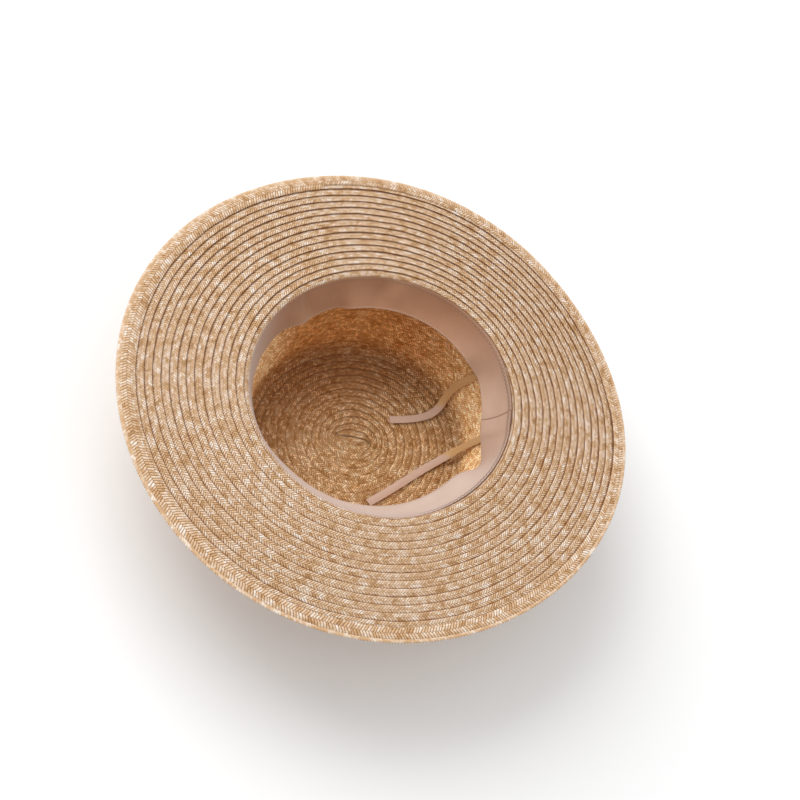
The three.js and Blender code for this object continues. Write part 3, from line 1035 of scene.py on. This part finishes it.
@dataclass
class Stitch:
    """One short stitch of thread, modelled once and set down many times."""

    radius: float = 0.22
    sides: int = 5
    arch: float = 0.3

    def _model(self) -> tuple[np.ndarray, list[tuple[int, ...]]]:
        """Models a stitch of unit length along X.

        Returns:
            Its points, with its radius in millimetres, and its faces.
        """
        deselect_all()
        bpy.ops.mesh.primitive_circle_add(
            vertices=self.sides,
            radius=self.radius * 0.55,
            fill_type="NGON",
            rotation=(0.0, math.pi / 2, 0.0),
        )
        piece = bpy.context.active_object
        bpy.ops.object.transform_apply(location=False, rotation=True, scale=False)
        bpy.ops.object.mode_set(mode="EDIT")
        bpy.ops.mesh.select_all(action="SELECT")
        place = 0.0
        for run, scale in ((0.16, 1.8), (0.34, 1.0), (0.34, 1.0), (0.16, 0.55)):
            place += run
            bpy.ops.mesh.extrude_region_move(TRANSFORM_OT_translate={"value": (run, 0.0, 0.0)})
            bpy.ops.transform.resize(value=(1.0, scale, scale), center_override=(place, 0.0, 0.0))
        bpy.ops.mesh.select_all(action="SELECT")
        bpy.ops.mesh.fill_holes(sides=0)
        bpy.ops.mesh.select_all(action="SELECT")
        bpy.ops.mesh.normals_make_consistent(inside=False)
        bpy.ops.object.mode_set(mode="OBJECT")
        points = np.array([tuple(vertex.co) for vertex in piece.data.vertices])
        faces = [tuple(polygon.vertices) for polygon in piece.data.polygons]
        bpy.data.objects.remove(piece)
        return points, faces

    def sew(self, name: str, start: np.ndarray, stop: np.ndarray, facing: np.ndarray) -> bpy.types.Object:
        """Sets down a row of stitches.

        Args:
            name: the piece's name.
            start: where each stitch starts, in millimetres.
            stop: where each stitch ends.
            facing: unit vectors off the ribbon.

        Returns:
            The piece with all the stitches.
        """
        points, faces = self._model()
        ahead = stop - start
        side = np.cross(facing, ahead)
        side /= np.linalg.norm(side, axis=1)[:, None]
        arch = self.arch * np.sin(np.pi * np.clip(points[:, 0], 0.0, 1.0)) - 0.1
        made = (
            start[:, None, :]
            + ahead[:, None, :] * points[None, :, :1]
            + side[:, None, :] * points[None, :, 1:2]
            + facing[:, None, :] * (points[:, 2] + arch)[None, :, None]
        )
        offsets = np.arange(len(start)) * len(points)
        every = [tuple(int(offset) + index for index in face) for offset in offsets for face in faces]
        mesh = bpy.data.meshes.new(name)
        mesh.from_pydata((made.reshape(-1, 3) * MM).tolist(), [], every)
        mesh.update()
        piece = bpy.data.objects.new(name, mesh)
        bpy.context.scene.collection.objects.link(piece)
        activate(piece)
        bpy.ops.object.shade_smooth_by_angle(angle=math.radians(80.0))
        deselect_all()
        return piece


@dataclass
class Sweatband:
    """Beige ribbon sewn round the opening by its upper edge, with its folds, lap seam and stitches."""

    form: HatForm
    finish: RibbonFinish
    thread: ThreadFinish
    width: float = 24.0
    thickness: float = 0.6
    seam_at: float = math.radians(86.3)
    lap: float = 12.0
    lap_step: float = 1.0
    seat_out: float = 3.3
    seat_drop: float = 1.45
    seat_lean: float = math.radians(85.0)
    seat_depth: float = 2.5
    loose_at: float = math.radians(65.0)
    lap_slant: float = math.radians(-1.8)
    folds: tuple[tuple[float, float, float], ...] = (
        (215.0, 2.4, -1.6),
        (207.5, 4.0, 1.2),
        (179.0, 3.0, -2.3),
        (170.5, 4.6, 2.1),
        (146.0, 5.0, -0.8),
    )
    zigzag_pitch: float = 1.6
    zigzag_from: float = 0.9
    zigzag_width: float = 2.8
    overcast_pitch: float = 1.8
    faces_around: int = 384
    faces_down: int = 16
    leans: tuple[tuple[float, float], ...] = (
        (0, 45), (27, 50), (43, 52), (48, 49), (53, 40), (59, 24), (64, 20), (71, 33), (77, 44),
        (84, 48), (93, 45), (102, 38), (111, 33), (122, 52), (136, 52), (146, 51), (158, 50), (164, 52),
        (177, 52), (183, 52), (192, 52), (198, 32), (202, 31), (208, 33), (214, 34), (220, 38),
        (227, 22), (234, 17), (241, 17), (246, 16), (252, 17), (262, 17), (290, 26), (310, 36),
        (340, 41), (360, 45),
    )

    def lean(self, direction: np.ndarray) -> np.ndarray:
        """How far the ribbon leans in from the vertical, in radians.

        Args:
            direction: direction in plan, in radians.

        Returns:
            The leans.
        """
        at = np.degrees(direction) % 360.0
        places = np.array([p for p, _ in self.leans], float)
        angles = np.array([a for _, a in self.leans], float)
        around = np.r_[places[-2] - 360.0, places, places[1] + 360.0]
        slopes = (np.r_[angles[1:], angles[1]] - np.r_[angles[-2], angles[:-1]]) / (around[2:] - around[:-2])
        index = np.clip(np.searchsorted(places, at, side="right") - 1, 0, len(places) - 2)
        gap = places[index + 1] - places[index]
        k = (at - places[index]) / gap
        turn = k * k * (3.0 - 2.0 * k)
        start = k * (1.0 - k) * (1.0 - k) * gap * slopes[index]
        stop = k * k * (k - 1.0) * gap * slopes[index + 1]
        return np.radians(angles[index] * (1.0 - turn) + angles[index + 1] * turn + start + stop)

    def _bend(self, lean: np.ndarray, down: np.ndarray, loose: np.ndarray) -> np.ndarray:
        """The ribbon's own lean at a distance from its sewn edge, which lies flatter on the straw."""
        free = lean * (0.45 + 0.95 * down / self.width)
        seat = self.seat_lean * (1.0 - 0.6 * loose)
        return free + (seat - free) * (1.0 - smoothstep(down, 0.3, self.seat_depth))

    def hang(self, direction: np.ndarray, down: np.ndarray, off: Any = 0.0) -> np.ndarray:
        """Places points of the ribbon.

        Args:
            direction: direction in plan, in radians.
            down: distance from the sewn edge, in millimetres.
            off: distance off the ribbon's middle towards the crown's inside.

        Returns:
            The points in millimetres.
        """
        direction, down, off = np.broadcast_arrays(
            np.asarray(direction, float), np.asarray(down, float), np.asarray(off, float)
        )
        lean = self.lean(direction)
        loose = smoothstep(np.cos(direction - self.loose_at), 0.55, 0.9)
        steps = 32
        half = self.form.head_half_width + self.seat_out - 1.7 * loose
        level = self.form.wall + self.form.crown_depth - self.seat_drop - 0.4 * loose
        for k in range(steps):
            bend = self._bend(lean, down * (k + 0.5) / steps, loose)
            half = half - np.sin(bend) * down / steps
            level = level - np.cos(bend) * down / steps
        bend = self._bend(lean, down, loose)
        middle = np.sin(np.pi * np.clip(down / self.width, 0.0, 1.0)) ** 1.5
        for at, reach, depth in self.folds:
            off = off + depth * middle * np.exp(-((np.degrees(direction) - at) / reach) ** 2)
        half = half - np.cos(bend) * off
        level = level + np.sin(bend) * off
        stretch = self.form.head_half_length - self.form.head_half_width
        angle = direction - self.form.crown_turn
        x = half * np.cos(angle)
        y = (half + stretch) * np.sin(angle)
        turn = self.form.crown_turn
        return np.stack([
            self.form.crown_centre[0] + x * math.cos(turn) - y * math.sin(turn),
            self.form.crown_centre[1] + x * math.sin(turn) + y * math.cos(turn),
            level,
        ], axis=-1)

    def build(self) -> list[bpy.types.Object]:
        """Makes the ribbon and its stitches.

        Returns:
            The pieces.
        """
        lap_turn = self.lap / self.form.head_half_width
        going = np.linspace(0.0, 2 * np.pi + lap_turn, self.faces_around + 1)
        direction = self.seam_at - lap_turn + going
        rows = np.linspace(0.0, 1.0, self.faces_down + 1) ** 1.3 * self.width
        over = self.lap_step * smoothstep(going, 2 * np.pi - 0.07, 2 * np.pi)
        slant = self.lap_slant * smoothstep(going, 2 * np.pi - 0.3, 2 * np.pi + lap_turn)
        slanted = direction[:, None] + slant[:, None] * rows[None, :] / self.width
        lines = self.hang(slanted, rows[None, :], over[:, None])
        piece = RibbonStrip(self.thickness).make("sweatband_ribbon", lines)
        run = float(np.linalg.norm(np.diff(lines[:, self.faces_down // 2], axis=0), axis=1).sum())
        piece.data.materials.append(replace(self.finish, ends_at=run).make("sweatband_grosgrain"))
        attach(piece, "root")
        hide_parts("sweatband")
        zigzag = self._zigzag()
        zigzag.data.materials.append(self.thread.make("stitching_thread"))
        overcast = self._overcast()
        loops = ThreadFinish(light=(0.66, 0.47, 0.36), dark=(0.48, 0.32, 0.23))
        overcast.data.materials.append(loops.make("edge_thread"))
        for stitches in (zigzag, overcast):
            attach(stitches, "root")
        self.width * MM
        return [piece, zigzag, overcast]

    def _seat(self, direction: np.ndarray, down: np.ndarray) -> tuple[np.ndarray, np.ndarray]:
        """Points on the ribbon's seen face and the way that it faces.

        Args:
            direction: direction in plan, in radians.
            down: distance from the sewn edge, in millimetres.

        Returns:
            The points in millimetres and the unit vectors.
        """
        past = (direction - self.seam_at) % (2 * np.pi)
        over = self.lap_step * smoothstep(past, 2 * np.pi - self.lap / self.form.head_half_width - 0.07,
                                          2 * np.pi - self.lap / self.form.head_half_width)
        low = self.hang(direction, down, over + self.thickness / 2)
        high = self.hang(direction, down, over + self.thickness / 2 + 1.0)
        return low, high - low

    def _zigzag(self) -> bpy.types.Object:
        """Sews the zigzag that holds the ribbon's upper edge.

        Returns:
            The stitches.
        """
        count = int(round(self.form.head_half_width * 2 * np.pi / self.zigzag_pitch / 2)) * 2
        direction = self.seam_at + np.linspace(0.0, 2 * np.pi, count + 1)
        down = self.zigzag_from + np.where(np.arange(count + 1) % 2 == 0, 0.0, self.zigzag_width)
        points, facing = self._seat(direction, down)
        return Stitch().sew("sweatband_zigzag", points[:-1], points[1:], facing[:-1])

    def _overcast(self) -> bpy.types.Object:
        """Sews the small slanted stitches along the ribbon's free edge.

        Returns:
            The stitches.
        """
        count = int(round(self.form.head_half_width * 2 * np.pi / self.overcast_pitch))
        direction = self.seam_at + np.linspace(0.0, 2 * np.pi, count, endpoint=False)
        start, facing = self._seat(direction, np.full(count, self.width + 0.1))
        slant = 0.6 / self.form.head_half_width
        stop, _ = self._seat(direction + slant, np.full(count, self.width - 1.3))
        return Stitch().sew("sweatband_overcast", start, stop, facing)


@dataclass
class Studio:
    """Camera, light and floor."""

    camera_at: tuple[float, float, float] = (613.009, -363.589, 1140.584)
    ahead: tuple[float, float, float] = (-0.477528, 0.295394, -0.827471)
    up: tuple[float, float, float] = (-0.876554, -0.095677, 0.471698)
    lens: float = 85.0
    key_at: tuple[float, float, float] = (-2.0, -1.3, 2.3)
    key_size: float = 2.8
    key_power: float = 80.0
    sky_strength: float = 0.80

    def camera(self) -> None:
        """Makes the camera at the photograph's place and roll."""
        data = bpy.data.cameras.new("camera")
        data.lens = self.lens
        data.sensor_width = 36.0
        data.clip_start = 0.05
        data.clip_end = 20.0
        piece = bpy.data.objects.new("camera", data)
        bpy.context.scene.collection.objects.link(piece)
        ahead = Vector(self.ahead).normalized()
        right = ahead.cross(Vector(self.up)).normalized()
        top = right.cross(ahead)
        turn = Matrix((right, top, -ahead)).transposed().to_4x4()
        piece.matrix_world = Matrix.Translation(Vector(self.camera_at) * MM) @ turn
        bpy.context.scene.camera = piece

    def light(self, name: str, place: tuple[float, float, float], size: float, power: float) -> None:
        """Adds a soft square lamp that looks at the hat.

        Args:
            name: the lamp's name.
            place: where it stands, in metres.
            size: its side, in metres.
            power: its power in watts.
        """
        data = bpy.data.lights.new(name, "AREA")
        data.size = size
        data.energy = power
        piece = bpy.data.objects.new(name, data)
        bpy.context.scene.collection.objects.link(piece)
        piece.location = place
        piece.rotation_mode = "QUATERNION"
        piece.rotation_quaternion = (-Vector(place)).to_track_quat("-Z", "Y")

    def floor(self) -> None:
        """Lays the plain pale floor under the hat."""
        deselect_all()
        bpy.ops.mesh.primitive_plane_add(size=8.0, location=(0.0, 0.0, 0.0))
        floor = bpy.context.active_object
        floor.name = "studio_floor"
        floor.data.materials.append(FloorFinish().make("pale_floor"))
        deselect_all()

    def surroundings(self) -> None:
        """Sets the soft white light from all round."""
        world = bpy.data.worlds.new("studio")
        world.use_nodes = True
        world.node_tree.nodes["Background"].inputs["Color"].default_value = (1.0, 1.0, 1.0, 1.0)
        world.node_tree.nodes["Background"].inputs["Strength"].default_value = self.sky_strength
        bpy.context.scene.world = world
        bpy.context.scene.view_settings.view_transform = "Standard"
        bpy.context.scene.view_settings.look = "None"

    def build(self) -> None:
        """Sets up floor, surroundings and light."""
        self.floor()
        self.surroundings()
        self.light("key", self.key_at, self.key_size, self.key_power)


TAIL_A = (
    (-41.6, 89.0, 72.0), (-41.4, 87.6, 64.0), (-41.6, 86.0, 56.5), (-42.2, 84.2, 48.6), (-43.6, 81.5, 41.5),
    (-44.8, 79.5, 34.5), (-45.5, 78.0, 28.0), (-45.6, 76.4, 22.0), (-45.0, 75.2, 16.6), (-43.4, 74.1, 12.0),
    (-41.0, 72.6, 8.6), (-38.0, 70.4, 6.3), (-34.9, 67.0, 4.9), (-32.1, 62.1, 4.1), (-29.9, 56.0, 3.8),
    (-28.3, 49.7, 3.7), (-27.2, 43.5, 3.7), (-26.5, 38.2, 3.7), (-26.2, 33.2, 3.7),
)
TAIL_B = (
    (6.0, 93.6, 72.0), (5.6, 92.2, 64.0), (4.8, 90.8, 56.0), (3.8, 89.3, 47.5), (2.2, 87.8, 38.6),
    (0.7, 86.1, 31.0), (-0.4, 84.1, 24.0), (-1.1, 81.9, 17.5), (-1.0, 79.1, 12.0), (0.3, 75.5, 8.0),
    (2.4, 71.3, 5.6), (5.3, 66.5, 4.4), (8.7, 61.2, 3.9), (12.1, 56.1, 3.7), (16.1, 50.5, 3.7),
    (20.1, 45.0, 3.7), (24.1, 39.5, 3.7), (28.1, 34.0, 3.7), (31.9, 28.6, 3.7), (35.7, 23.2, 3.7),
    (39.3, 17.8, 3.7), (42.2, 13.3, 3.7),
)


def main() -> None:
    """Builds the hat's looks in order."""
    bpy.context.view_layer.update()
    form = HatForm()
    ribbon = RibbonFinish()
    narrow = RibbonFinish(light=(0.66, 0.46, 0.36), dark=(0.58, 0.39, 0.30), roughness=0.5)
    tail_a = replace(narrow, turns_at=68.0)
    tail_b = replace(narrow, turns_at=69.0)
    studio = Studio()
    studio.camera()
    RibbonTail(form, "tail_a_ribbon", "ribbon_tail_a", TAIL_A, tail_a).build()
    RibbonTail(form, "tail_b_ribbon", "ribbon_tail_b", TAIL_B, tail_b).build()
    StrawBody(form).build()
    Sweatband(form, ribbon, ThreadFinish()).build()
    studio.build()
    deselect_all()
    log.info("boxes written")


if __name__ == "__main__":
    main()
